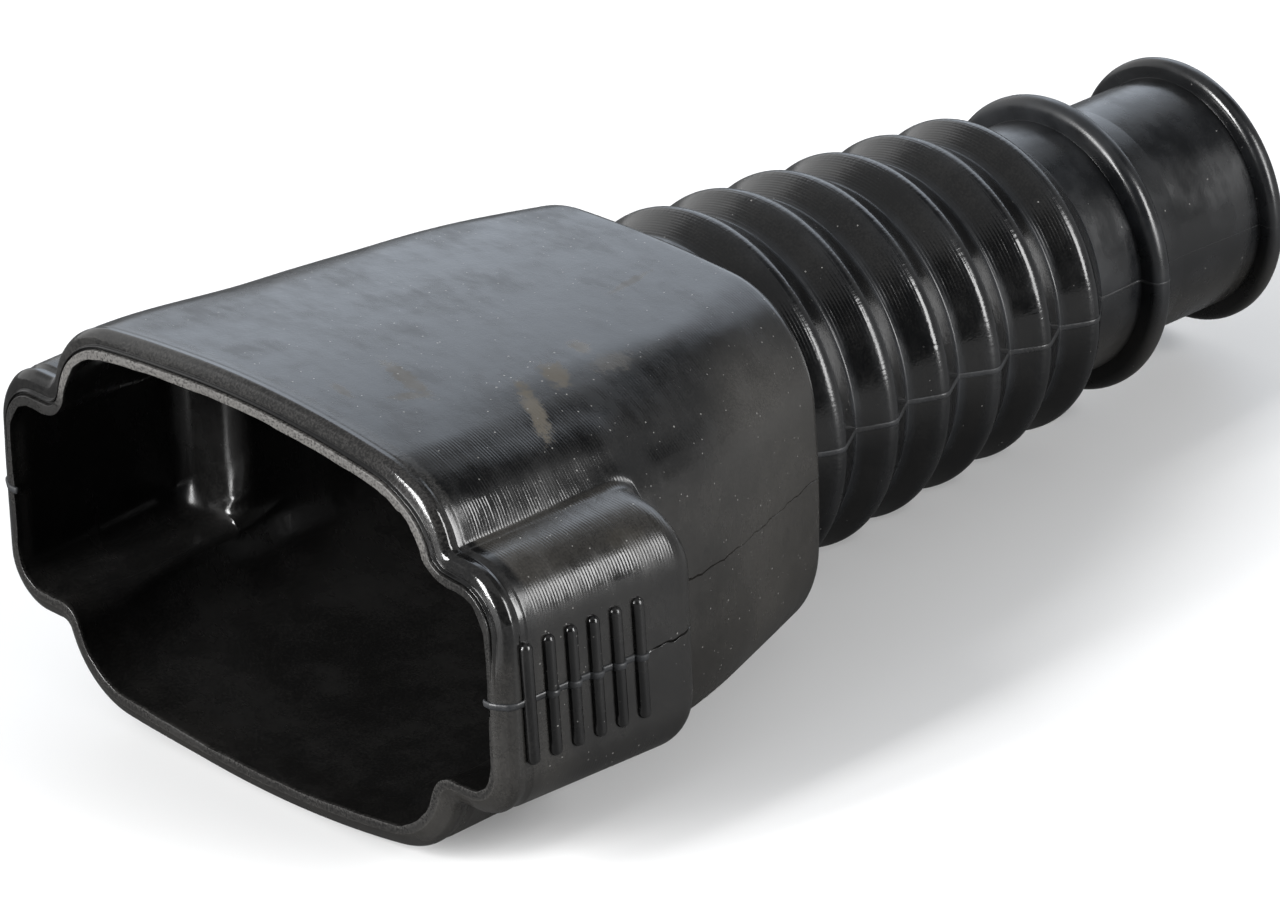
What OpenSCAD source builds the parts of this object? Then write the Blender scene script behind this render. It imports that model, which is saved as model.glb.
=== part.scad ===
// Rubber boot for a rectangular plug: an eared housing, a bellows and a cable sleeve, moulded as one piece.
// The boot's axis is X. Its mouth lies in the plane x = 0 and the cable leaves towards +X. All sizes are in mm.

/* [Housing section] */
// Width of the housing over its side walls at the mouth, without the ears
body_w = 45.6; // [42:0.2:50]
// Height of the housing at the mouth, on the centre line
body_h = 33.2; // [31:0.2:38]
// Radius of the arched top and bottom at the mouth
crown_r = 95; // [70:1:140]
// Radius of the bowed side walls at the mouth
side_r = 38; // [32:1:60]
// Radius that joins the top to a side wall at the mouth
corner_r = 8; // [7.5:0.1:9.5]
// Thickness of the housing's wall
wall = 2; // [1.6:0.1:2.4]

/* [Housing length and taper] */
// Length of the housing from the mouth to its flat back
body_len = 41.6; // [36:0.2:50]
// How much lower the back is than the first crest of the bellows
rear_under = 0.4; // [0:0.1:0.6]
// How far the back stands wider than it is high
rear_extra_w = 4.6; // [2:0.1:8]
// Radius of the arched top and bottom at the back
rear_crown_r = 150; // [90:5:250]
// Radius of the bowed side walls at the back
rear_side_r = 90; // [60:5:200]
// Radius that joins the top to a side wall at the back
rear_corner_r = 9; // [7.5:0.1:10]
// Where the side walls begin to turn inwards
taper_start = 18.5; // [16:0.5:21]
// Length over which they turn
taper_blend = 12; // [6:0.5:14]
// Radius round the edge of the back
rear_edge_r = 1.4; // [0.8:0.1:1.8]
// Thickness of the wall at the back
back_wall = 2.2; // [1.8:0.1:3]

/* [Ears] */
// How far an ear stands out from the side wall
ear_out = 5.3; // [4.4:0.1:7]
// Height of an ear
ear_h = 19; // [17.4:0.2:20]
// Radius along the ear's outer edges
ear_corner_r = 4.2; // [3.2:0.1:4.6]
// Length of an ear from the mouth
ear_len = 18; // [14:0.2:18]
// Radius of the ear's rear end, seen from above
ear_end_r = 2.8; // [2:0.1:3.6]
// Radius in the groove between ear and top
valley_r = 0.3; // [0.2:0.1:0.6]

/* [Grip ribs] */
// Ribs on each ear
rib_count = 6; // [3:1:7]
// Distance from rib to rib
rib_pitch = 2.03; // [1.6:0.01:2.2]
// First rib, from the mouth
rib_first = 2.3; // [2:0.1:3]
// Length of a rib
rib_len = 9.6; // [6:0.2:10.4]
// Radius of a rib, which is half sunk in the ear
rib_r = 0.5; // [0.3:0.05:0.7]

/* [Lip] */
// Width of the flat end face round the mouth
lip_band = 0.95; // [0.6:0.05:1.2]
// How far the end face stands out from the rounded edge
lip_step = 0.5; // [0.2:0.05:0.8]
// Length of the rounded edge along the boot
lip_round = 1.5; // [1:0.1:2]

/* [Bellows] */
// Number of folds
fold_count = 6; // [4:1:8]
// Distance from crest to crest
fold_pitch = 5.75; // [5:0.05:7]
// Distance from the housing's back to the first root
root_gap = 1; // [0.6:0.1:2]
// Diameter over the first crest
crest_d = 29.2; // [27:0.1:31]
// How much each crest is smaller across than the one before
crest_drop = 0.8; // [0:0.02:0.9]
// Depth of a fold from crest to root
fold_depth = 1.4; // [1.1:0.05:1.7]
// Radius over a crest
crest_r = 1.2; // [0.8:0.05:1.4]
// Radius in a root
root_r = 0.3; // [0.2:0.05:0.5]
// Thickness of the bellows' wall
fold_wall = 1.4; // [1:0.1:1.7]

/* [Cable sleeve] */
// Bore for the cable
bore_d = 15.5; // [13:0.1:17]
// Thickness of the neck between bellows and ring
neck_wall = 2.4; // [2:0.1:2.8]
// Length of the neck
neck_len = 4.35; // [3:0.05:7]
// Width of the ring
ring_w = 1.9; // [1.4:0.1:2.4]
// Height of the ring above the neck
ring_h = 1.75; // [1:0.05:2.2]
// Thickness of the sleeve
sleeve_wall = 1.55; // [1.2:0.05:1.9]
// How much thicker the sleeve starts at the ring
lead_h = 0.35; // [0.1:0.05:0.5]
// Length over which the sleeve thins
lead_len = 3.6; // [2:0.1:5]
// Length of the even part of the sleeve
sleeve_len = 8.4; // [6:0.1:14]
// Width of the bead at the end
bead_w = 1.6; // [1.2:0.1:2.6]
// Height of the bead above the sleeve
bead_h = 1.4; // [0.8:0.05:1.8]

/* [Hidden] */
rubber = [0.11, 0.11, 0.12];

// Steps along each stretch of a quarter of the housing's outline
top_n = 3;
corner_n = 5;
valley_n = 3;
ear_corner_n = 4;
ear_side_n = 2;
ear_n = valley_n + 1 + ear_corner_n + ear_side_n;
// Steps over a rounded edge
edge_n = 4;
round_n = 4;

// Sizes of the back, and half sizes over the ears
rear_h = crest_d - rear_under;
rear_w = rear_h + rear_extra_w;
ear_y = body_w / 2 + ear_out;
ear_z = ear_h / 2;
inner_end_r = ear_end_r - wall / 2;
// How far a rib's axis lies clear of the ear's face
rib_proud = 0.02;

// Bellows and sleeve, as places along the axis and radii
fold_x0 = body_len + root_gap;
fold_half = fold_pitch / 2;
bore_r = bore_d / 2;
neck_r = bore_r + neck_wall;
ring_r = neck_r + ring_h;
sleeve_r = bore_r + sleeve_wall;
bead_r = sleeve_r + bead_h;
neck_x0 = fold_x0 + fold_count * fold_pitch;
ring_x0 = neck_x0 + neck_len;
ring_x1 = ring_x0 + ring_w;
bead_x0 = ring_x1 + lead_len + sleeve_len;
boot_len = bead_x0 + bead_w;
// The tube starts inside the back wall, and the hole there is a little smaller than the tube's own inside
tube_x0 = body_len - back_wall / 2;
hole_step = 0.3;
sharp_r = 0.3;

function crest(i) = (crest_d - i * crest_drop) / 2;
function root(i) = crest(i - 0.5) - fold_depth;
// Height that rounding takes off a tip of radius r between sides at a slope a, and the slope that allows for it
function cut(r, a) = r * (1 / cos(a) - 1);
fold_slope = atan((fold_depth + cut(crest_r + root_r, atan(fold_depth / fold_half))) / fold_half);
function tip(r) = cut(r, fold_slope);
fold_wall_r = fold_wall / cos(fold_slope);
hole_r = root(0) - tip(root_r) - fold_wall_r - hole_step;

function mix(a, b, t) = a + (b - a) * t;
function arc(c, r, a0, a1, n) = [for (i = [0:n]) c + r * [cos(mix(a0, a1, i / n)), sin(mix(a0, a1, i / n))]];
function tail_of(list) = [for (i = [1:len(list) - 1]) list[i]];
function angle_of(v) = atan2(v.y, v.x);
// Point at the distances rp from p and rq from q, on the outer side
function meet(p, rp, q, rq) =
    let (d = norm(q - p), u = (q - p) / d, a = (rp * rp - rq * rq + d * d) / (2 * d))
    p + a * u + sqrt(rp * rp - a * a) * [u.y, -u.x];

// Share of the taper that is done at x: none, then a parabola, then a straight line to the back
function taper(x) =
    let (s = max(0, x - taper_start), b = taper_blend, all = body_len - taper_start - b / 2)
    (s < b ? s * s / (2 * b) : s - b / 2) / all;
function half_w(x) = mix(body_w, rear_w, taper(x)) / 2;
function half_h(x) = mix(body_h, rear_h, x / body_len) / 2;

// Quarter outlines at x, moved out by d: [y, z] from the middle of the top to the middle of the side.
// The top arch, the corner and the bowed side are three arcs that meet smoothly.
function top_c(x) = [0, half_h(x) - mix(crown_r, rear_crown_r, x / body_len)];
function side_c(x) = [half_w(x) - mix(side_r, rear_side_r, x / body_len), 0];
function join_r(x) = mix(corner_r, rear_corner_r, x / body_len);
function corner_c(x) =
    meet(top_c(x), half_h(x) - top_c(x).y - join_r(x), side_c(x), half_w(x) - side_c(x).x - join_r(x));
function top_arc(x, d, a1) = arc(top_c(x), half_h(x) - top_c(x).y + d, 90, a1, top_n);
function plain_quarter(x, d) =
    let (c = corner_c(x), a0 = angle_of(c - top_c(x)), a1 = angle_of(c - side_c(x)))
    concat(
        top_arc(x, d, a0),
        tail_of(arc(c, join_r(x) + d, a0, a1, corner_n)),
        tail_of(arc(side_c(x), half_w(x) - side_c(x).x + d, a1, 0, ear_n))
    );
// With the ear: a groove, the ear's flat top, its round edge and its upright face
function eared_quarter(x, d) =
    let (
        c = corner_c(x),
        a0 = angle_of(c - top_c(x)),
        rise = ear_z + valley_r - c.y,
        v = [c.x + sqrt(pow(join_r(x) + valley_r, 2) - rise * rise), ear_z + valley_r],
        a1 = angle_of(v - c),
        e = [ear_y - ear_corner_r, ear_z - ear_corner_r]
    )
    concat(
        top_arc(x, d, a0),
        tail_of(arc(c, join_r(x) + d, a0, a1, corner_n)),
        tail_of(arc(v, valley_r - d, a1 + 180, 270, valley_n)),
        arc(e, ear_corner_r + d, 90, 0, ear_corner_n),
        [for (i = [1:ear_side_n]) [ear_y + d, e.y * (1 - i / ear_side_n)]]
    );
// Share of the ear that stands at x, for an ear that ends at x1: full, then round, then down a steep rear wall
function ear_share(x, x1, r) =
    let (s = x - x1 + r)
    s <= 0 ? 1 : s <= r ? 1 - (r - sqrt(max(0, r * r - s * s))) / ear_out : 0;
function quarter(x, d, share) =
    let (p = plain_quarter(x, d), e = eared_quarter(x, d))
    [for (k = [0:len(p) - 1]) mix(p[k], e[k], share)];

// A whole outline from its quarter, as points in space
function whole(q, x) =
    let (n = len(q) - 1)
    concat(
        [for (k = [0:n - 1]) [x, q[k].x, q[k].y]],
        [for (k = [n:-1:1]) [x, q[k].x, -q[k].y]],
        [for (k = [0:n - 1]) [x, -q[k].x, -q[k].y]],
        [for (k = [n:-1:1]) [x, -q[k].x, q[k].y]]
    );
function outline(x, d, share) = whole(quarter(x, d, share), x);
function outer(x) = outline(x, 0, ear_share(x, ear_len, ear_end_r));
function inner(x) = outline(x, -wall, ear_share(x, ear_len - wall, inner_end_r));
function hole(x) = whole([for (p = plain_quarter(body_len, -wall)) hole_r * p / norm(p)], x);

// Places of the outlines along the housing: round the ear's end, down its rear wall, then along the taper
rear_lean = 0.4;
taper_n = 5;
function ear_places(x1, r) = [for (i = [0:edge_n]) x1 - r + r * sin(90 * i / edge_n)];
function taper_places(x0, x1) =
    let (turned = taper_start + taper_blend)
    concat([for (i = [0:taper_n]) mix(x0, turned, i / taper_n)], [(turned + x1) / 2, x1]);
inner_back = body_len - back_wall;
outer_places = concat(ear_places(ear_len, ear_end_r), taper_places(ear_len + rear_lean, body_len - rear_edge_r));
inner_places = concat(
    ear_places(ear_len - wall, inner_end_r),
    taper_places(ear_len - wall + rear_lean, inner_back)
);

// The lip: from the inner edge over the flat end face, back down its step and over the rounded edge
lip_rings = concat(
    [outline(0, -wall, 1), outline(0, lip_band - wall, 1)],
    [
        for (i = [0:edge_n])
        outline(
            lip_step + lip_round * (1 - cos(90 * i / edge_n)),
            (lip_band - wall) * (1 - sin(90 * i / edge_n)),
            1
        )
    ]
);
// The rounded edge of the back, then its flat face to the hole and through the wall
back_rings = concat(
    [
        for (i = [1:edge_n])
        outline(
            body_len - rear_edge_r * (1 - sin(90 * i / edge_n)),
            -rear_edge_r * (1 - cos(90 * i / edge_n)),
            0
        )
    ],
    [hole(body_len), hole(inner_back)]
);
housing_rings = concat(
    [for (i = [len(inner_places) - 1:-1:0]) inner(inner_places[i])],
    lip_rings,
    [for (x = outer_places) outer(x)],
    back_rings
);

// Closed skin over a loop of rings that all have as many points
module skin(rings) {
    m = len(rings);
    n = len(rings[0]);
    polyhedron(
        points = [for (ring = rings, p = ring) p],
        faces = [
            for (i = [0:m - 1], k = [0:n - 1])
            let (a = i * n, b = ((i + 1) % m) * n, l = (k + 1) % n)
            each [[a + k, b + l, b + k], [a + k, a + l, b + l]]
        ]
    );
}

module housing() {
    skin(housing_rings);
}

// Path with each corner p[i] rounded to the radius r[i], or less where a side is too short for it
side_share = 0.48;
function rounded(p, r) = [
    for (i = [0:len(p) - 1])
    each i == 0 || i == len(p) - 1 || r[i] == 0 ? [p[i]] : corner(p[i - 1], p[i], p[i + 1], r[i])
];
function corner(a, b, c, r) =
    let (
        u = (a - b) / norm(a - b),
        v = (c - b) / norm(c - b),
        half = acos(u * v) / 2,
        back = min(r / tan(half), side_share * min(norm(a - b), norm(c - b))),
        o = b + (u + v) / norm(u + v) * back / cos(half),
        a0 = angle_of(b + u * back - o),
        turn = angle_of(b + v * back - o) - a0,
        sweep = turn > 180 ? turn - 360 : turn < -180 ? turn + 360 : turn
    )
    arc(o, back * tan(half), a0, a0 + sweep, round_n);

// Fold tips as [radius, place], from the root before the first crest to the last crest
fold_tips = [
    for (i = [0:fold_count - 1])
    each [
        [root(i) - tip(root_r), fold_x0 + i * fold_pitch],
        [crest(i) + tip(crest_r), fold_x0 + (i + 0.5) * fold_pitch]
    ]
];
fold_radii = [for (i = [0:fold_count - 1]) each [root_r, crest_r]];
inner_tips = [for (p = fold_tips) p - [fold_wall_r, 0]];
inner_radii = [for (r = fold_radii) r == root_r ? root_r + fold_wall : sharp_r];
ring_round = ring_w * side_share;
bead_round = bead_w * side_share;

// Outside of the tube, from the back wall to the end of the sleeve, then its inside on the way back
outer_path = concat(
    [[fold_tips[0].x, tube_x0]],
    fold_tips,
    [
        [neck_r, neck_x0],
        [neck_r, ring_x0],
        [ring_r, ring_x0],
        [ring_r, ring_x1],
        [sleeve_r + lead_h, ring_x1],
        [sleeve_r, ring_x1 + lead_len],
        [sleeve_r, bead_x0],
        [bead_r, bead_x0],
        [bead_r, boot_len],
        [bore_r, boot_len]
    ]
);
outer_radii = concat(
    [0],
    fold_radii,
    [sharp_r, sharp_r, ring_round, ring_round, sharp_r, sharp_r, sharp_r, bead_round, bead_round, sharp_r]
);
inner_path = concat(
    [for (i = [len(inner_tips) - 1:-1:0]) inner_tips[i]],
    [[inner_tips[0].x, tube_x0]]
);
inner_path_radii = concat([for (i = [len(inner_radii) - 1:-1:0]) inner_radii[i]], [0]);
tube_path = concat(outer_path, [[bore_r, neck_x0]], inner_path);
tube_radii = concat(outer_radii, [sharp_r], inner_path_radii);

module bellows_and_sleeve() {
    rotate([0, 90, 0])
    rotate_extrude($fn = 96)
    polygon(rounded(tube_path, tube_radii));
}

// A rib with round ends, standing on end
module rib() {
    half = rib_len / 2;
    rotate_extrude($fn = 24)
    polygon(concat(
        arc([0, rib_r - half], rib_r, -90, 0, round_n),
        arc([0, half - rib_r], rib_r, 0, 90, round_n)
    ));
}

module grip_ribs() {
    for (side = [-1, 1], i = [0:rib_count - 1])
    translate([rib_first + i * rib_pitch, side * (ear_y + rib_proud), 0])
    rib();
}

module rubber_boot() {
    color(rubber) {
        housing();
        bellows_and_sleeve();
        grip_ribs();
    }
}

rubber_boot();
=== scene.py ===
import math

import bpy
import numpy as np
from mathutils import Matrix


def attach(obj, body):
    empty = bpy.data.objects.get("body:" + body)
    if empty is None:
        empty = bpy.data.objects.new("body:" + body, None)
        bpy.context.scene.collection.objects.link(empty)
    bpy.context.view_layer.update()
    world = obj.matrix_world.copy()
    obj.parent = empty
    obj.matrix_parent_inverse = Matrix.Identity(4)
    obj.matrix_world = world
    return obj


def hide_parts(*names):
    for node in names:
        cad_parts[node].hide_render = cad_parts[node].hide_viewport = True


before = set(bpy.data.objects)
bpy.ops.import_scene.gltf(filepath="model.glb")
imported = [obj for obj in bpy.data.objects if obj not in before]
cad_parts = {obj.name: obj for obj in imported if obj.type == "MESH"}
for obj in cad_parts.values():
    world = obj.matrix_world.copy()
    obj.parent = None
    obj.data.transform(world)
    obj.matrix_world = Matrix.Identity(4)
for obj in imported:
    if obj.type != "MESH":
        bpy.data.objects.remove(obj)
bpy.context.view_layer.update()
mm = 0.001
print("boot: frame loaded with", ", ".join(sorted(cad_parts)))


# Meshes from grids

def gridQuads(rows, cols, rowLoop=True):
    # corner numbers of the faces between each row and the next, every row closed on itself
    r = np.arange(rows if rowLoop else rows - 1)[:, None]
    c = np.arange(cols)[None, :]
    nextRow, nextCol = (r + 1) % rows, (c + 1) % cols
    corners = (r * cols + c, r * cols + nextCol, nextRow * cols + nextCol, nextRow * cols + c)
    return np.stack(np.broadcast_arrays(*corners), -1).reshape(-1, 4)


def volumeOf(points, faces):
    # a closed skin holds a positive volume when its faces point outwards
    a = points[faces[:, 0]]
    fans = range(1, faces.shape[1] - 1)
    return sum((a * np.cross(points[faces[:, i]], points[faces[:, i + 1]])).sum() for i in fans)


def outwards(points, faces):
    return faces if volumeOf(points, faces) > 0 else faces[:, ::-1]


def closedRuns(rings):
    # each run is a row of loops, and both its ends close on a point in their middle
    runs, rows, cols = rings.shape[:3]
    c, tip, last = np.arange(cols), np.full(cols, rows * cols), (rows - 1) * cols
    following = (c + 1) % cols
    sides = gridQuads(rows, cols, False)
    fans = np.concatenate([np.stack([following, c, tip], -1), np.stack([last + c, last + following, tip + 1], -1)])
    points = np.concatenate([rings.reshape(runs, -1, 3), rings[:, [0, -1]].mean(2)], 1)
    turns = [1 if volumeOf(p, sides) + volumeOf(p, fans) > 0 else -1 for p in points]
    quads = np.concatenate([sides[:, ::turn] + i * points.shape[1] for i, turn in enumerate(turns)])
    tris = np.concatenate([fans[:, ::turn] + i * points.shape[1] for i, turn in enumerate(turns)])
    return points.reshape(-1, 3), [quads, tris]


def inScene(name, data):
    added = bpy.data.objects.new(name, data)
    bpy.context.scene.collection.objects.link(added)
    return added


def rubberPiece(name, points, faces, marks, material):
    # points in mm; faces hold quads and triangles; marks hold one number for each point, for the material to read
    mesh = bpy.data.meshes.new(name)
    loops = np.concatenate([f.ravel() for f in faces])
    sizes = np.concatenate([np.full(len(f), f.shape[1]) for f in faces])
    mesh.vertices.add(len(points))
    mesh.vertices.foreach_set("co", (points * mm).astype(np.float32).ravel())
    mesh.loops.add(len(loops))
    mesh.loops.foreach_set("vertex_index", loops.astype(np.int32))
    mesh.polygons.add(len(sizes))
    mesh.polygons.foreach_set("loop_start", (np.cumsum(sizes) - sizes).astype(np.int32))
    mesh.polygons.foreach_set("use_smooth", np.ones(len(sizes), bool))
    for mark, values in marks.items():
        mesh.attributes.new(mark, "FLOAT", "POINT").data.foreach_set("value", values.astype(np.float32).ravel())
    mesh.update(calc_edges=True)
    mesh.validate()
    mesh.materials.append(material)
    piece = inScene(name, mesh)
    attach(piece, "root")
    print("boot:", name, "has", len(points), "points and", int((sizes - 2).sum()), "triangles")
    return piece


def lerp(a, b, t):
    return a + (b - a) * t


def smooth(t):
    # 0 below 0, 1 above 1, and an even S-curve between
    t = np.clip(t, 0, 1)
    return t * t * (3 - 2 * t)


def rise(value, start, reach):
    # 0 up to the start, and 1 from a reach beyond it
    return smooth((value - start) / reach)


def fall(value, end, reach):
    # 0 from the end on, and 1 up to a reach before it
    return smooth((end - value) / reach)


arcShare = 0.48


def roundedPath(corners, radii, steps, longest):
    # each corner becomes an arc that touches both sides and takes no more than a share of the shorter one, and long
    # straights are cut into even steps
    p, r = np.asarray(corners, float), np.asarray(radii, float)
    a, b, c = p[:-2], p[1:-1], p[2:]
    la, lc = np.linalg.norm(a - b, axis=1), np.linalg.norm(c - b, axis=1)
    u, v = (a - b) / la[:, None], (c - b) / lc[:, None]
    half = np.arccos(np.clip((u * v).sum(1), -1, 1)) / 2
    back = np.minimum(r[1:-1] / np.tan(half), arcShare * np.minimum(la, lc))
    middle = b + (u + v) / np.linalg.norm(u + v, axis=1)[:, None] * (back / np.cos(half))[:, None]
    start, end = b + u * back[:, None] - middle, b + v * back[:, None] - middle
    a0, a1 = np.arctan2(start[:, 1], start[:, 0]), np.arctan2(end[:, 1], end[:, 0])
    turn = (a1 - a0 + math.pi) % (2 * math.pi) - math.pi
    angle = a0[:, None] + turn[:, None] * np.linspace(0, 1, steps + 1)
    radius = (back * np.tan(half))[:, None]
    arcs = middle[:, None] + np.stack([radius * np.cos(angle), radius * np.sin(angle)], -1)
    path = np.concatenate([p[:1], arcs.reshape(-1, 2), p[-1:]])
    count = np.ceil(np.linalg.norm(np.diff(path, axis=0), axis=1) / longest).astype(int).clip(1)
    i = np.repeat(np.arange(len(count)), count)
    t = (np.arange(len(i)) - np.repeat(np.cumsum(count) - count, count)) / count[i]
    return np.concatenate([lerp(path[i], path[i + 1], t[:, None]), path[-1:]])


# Shader effects that the rubbers share

def put(tree, kind, values=None, **settings):
    node = tree.nodes.new(kind)
    for key, value in settings.items():
        setattr(node, key, value)
    for key, value in (values or {}).items():
        feed(tree, node.inputs[key], value)
    return node


def feed(tree, socket, value):
    # a socket is linked, anything else is set
    if isinstance(value, bpy.types.NodeSocket):
        tree.links.new(value, socket)
    else:
        socket.default_value = value


def calc(tree, operation, a, b=None, c=None):
    node = put(tree, "ShaderNodeMath", operation=operation)
    for socket, value in zip(node.inputs, (a, b, c)):
        if value is not None:
            feed(tree, socket, value)
    return node.outputs[0]


def ramp(tree, value, low, high, toLow=0.0, toHigh=1.0):
    values = {"Value": value, "From Min": low, "From Max": high, "To Min": toLow, "To Max": toHigh}
    return put(tree, "ShaderNodeMapRange", values, interpolation_type="SMOOTHSTEP").outputs["Result"]


def noise(tree, place, scale, detail, rough=0.55):
    values = {"Vector": place, "Scale": scale, "Detail": detail, "Roughness": rough}
    return put(tree, "ShaderNodeTexNoise", values).outputs["Fac"]


def vector(tree, operation, a, b, output=0):
    node = put(tree, "ShaderNodeVectorMath", operation=operation)
    feed(tree, node.inputs[0], a)
    feed(tree, node.inputs["Scale" if operation == "SCALE" else 1], b)
    return node.outputs[output]


def tint(tree, share, a, b):
    # a Mix node's colours are its inputs 6 and 7 and its output 2
    node = put(tree, "ShaderNodeMix", data_type="RGBA")
    feed(tree, node.inputs[0], share)
    feed(tree, node.inputs[6], a)
    feed(tree, node.inputs[7], b)
    return node.outputs[2]


def effect(name, inputs, outputs):
    group = bpy.data.node_groups.new(name, "ShaderNodeTree")
    for socket, kind in inputs:
        group.interface.new_socket(name=socket, in_out="INPUT", socket_type="NodeSocket" + kind)
    for socket in outputs:
        group.interface.new_socket(name=socket, in_out="OUTPUT", socket_type="NodeSocketFloat")
    return group, put(group, "NodeGroupInput"), put(group, "NodeGroupOutput")


# a noise has a scale, a detail and perhaps a roughness, and noiseSpan is where most of it lies; a draw stretches it
finish = {
    "noiseSpan": (0.3, 0.7), "speckChance": (0.3, 1.0), "speckSize": (0.03, 0.14),
    "lineWander": 0.6, "lineWanderNoise": (120.0, 2.0), "lineDraw": (1, 0.15, 0.15), "lineNoise": (2600.0, 1.0),
    "lineStrength": (0.5, 1.5), "cloudNoise": (180.0, 3.0, 0.6), "grainNoise": (5200.0, 1.0, 0.6),
    "wipeDraw": (1, 0.3, 0.3), "wipeNoise": (900.0, 3.0, 0.65), "nickDraw": (0.2, 1, 1), "nickNoise": (3200.0, 1.0),
    "smearEdge": (1.1, 0.5), "raggedNoise": (1500.0, 5.0, 0.75), "raggedSize": 1.9, "raggedShift": -0.92,
}


def spread(tree, value, ends):
    # most of a noise is carried over to the two ends
    return ramp(tree, value, *finish["noiseSpan"], *ends)


def makeDust():
    # one speck in some of the cells of a random pattern, each with its own size
    group, start, end = effect("dustSpecks", [("Place", "Vector"), ("Cells", "Float"), ("Share", "Float")], ["Mask"])
    cells = put(group, "ShaderNodeTexVoronoi", {"Vector": start.outputs["Place"], "Scale": start.outputs["Cells"]})
    chance = put(group, "ShaderNodeSeparateColor", {"Color": cells.outputs["Color"]})
    size = ramp(group, chance.outputs["Green"], *finish["speckChance"], *finish["speckSize"])
    inside = calc(group, "LESS_THAN", cells.outputs["Distance"], size)
    chosen = calc(group, "LESS_THAN", chance.outputs["Red"], start.outputs["Share"])
    group.links.new(calc(group, "MULTIPLY", inside, chosen), end.inputs["Mask"])
    return group


def makeCutterLines():
    # a sine along the run, in mm, whose phase wanders a little, and whose strength changes from line to line
    group, start, end = effect("cutterLines", [("Place", "Vector"), ("Run", "Float"), ("Pitch", "Float")], ["Height"])
    place = start.outputs["Place"]
    turns = calc(group, "DIVIDE", start.outputs["Run"], start.outputs["Pitch"])
    wander = calc(group, "MULTIPLY", noise(group, place, *finish["lineWanderNoise"]), finish["lineWander"])
    phase = calc(group, "MULTIPLY", calc(group, "ADD", turns, wander), 2 * math.pi)
    drawn = vector(group, "MULTIPLY", place, finish["lineDraw"])
    strength = spread(group, noise(group, drawn, *finish["lineNoise"]), finish["lineStrength"])
    group.links.new(calc(group, "MULTIPLY", calc(group, "SINE", phase), strength), end.inputs["Height"])
    return group


def makeMould():
    # clouds of sheen a few mm wide, the fine grain of the mould, and streaks as if wiped across
    group, start, end = effect("mouldFinish", [("Place", "Vector")], ["Cloud", "Grain", "Wipe"])
    place = start.outputs["Place"]
    group.links.new(noise(group, place, *finish["cloudNoise"]), end.inputs["Cloud"])
    group.links.new(noise(group, place, *finish["grainNoise"]), end.inputs["Grain"])
    drawn = vector(group, "MULTIPLY", place, finish["wipeDraw"])
    group.links.new(noise(group, drawn, *finish["wipeNoise"]), end.inputs["Wipe"])
    return group


def makeNicks():
    # short hollows that lie along the boot
    group, start, end = effect("crestNicks", [("Place", "Vector")], ["Height"])
    drawn = vector(group, "MULTIPLY", start.outputs["Place"], finish["nickDraw"])
    group.links.new(noise(group, drawn, *finish["nickNoise"]), end.inputs["Height"])
    return group


def makeSmear():
    # one inside a long blot with a ragged edge: the way along over half its length and the way off over half its width
    sockets = [("Place", "Vector"), ("Ragged", "Float"), ("Middle", "Vector"), ("Along", "Vector"), ("Long", "Float"),
               ("Wide", "Float")]
    group, start, end = effect("smear", sockets, ["Mask"])
    away = vector(group, "SUBTRACT", start.outputs["Place"], start.outputs["Middle"])
    along = vector(group, "DOT_PRODUCT", away, start.outputs["Along"], "Value")
    off = calc(group, "SUBTRACT", vector(group, "DOT_PRODUCT", away, away, "Value"), calc(group, "POWER", along, 2.0))
    lengthwise = calc(group, "POWER", calc(group, "DIVIDE", along, start.outputs["Long"]), 2.0)
    sideways = calc(group, "DIVIDE", off, calc(group, "POWER", start.outputs["Wide"], 2.0))
    reach = calc(group, "SQRT", calc(group, "ADD", lengthwise, sideways))
    mask = ramp(group, calc(group, "ADD", reach, start.outputs["Ragged"]), *finish["smearEdge"])
    group.links.new(mask, end.inputs["Mask"])
    return group


dustSpecks, cutterLines, mouldFinish = makeDust(), makeCutterLines(), makeMould()
crestNicks, smear = makeNicks(), makeSmear()


def useEffect(tree, group, **values):
    node = put(tree, "ShaderNodeGroup", node_tree=group)
    for key, value in values.items():
        feed(tree, node.inputs[key], value)
    return node


def attribute(tree, name):
    return put(tree, "ShaderNodeAttribute", attribute_name=name).outputs["Fac"]


def smears(tree, place, blots):
    # the strongest of some blots, each given by its two ends and half its width in mm, and its strength
    total = 0.0
    if not blots:
        return total
    rags = noise(tree, place, *finish["raggedNoise"])
    ragged = calc(tree, "MULTIPLY_ADD", rags, finish["raggedSize"], finish["raggedShift"])
    for start, end, wide, strength in blots:
        ends = np.array([start, end]) * mm
        length = np.linalg.norm(ends[1] - ends[0])
        mask = useEffect(
            tree, smear, Place=place, Ragged=ragged, Middle=ends.mean(0), Along=(ends[1] - ends[0]) / length,
            Long=length / 2, Wide=wide * mm).outputs["Mask"]
        total = calc(tree, "MAXIMUM", total, calc(tree, "MULTIPLY", mask, strength))
    return total


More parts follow.
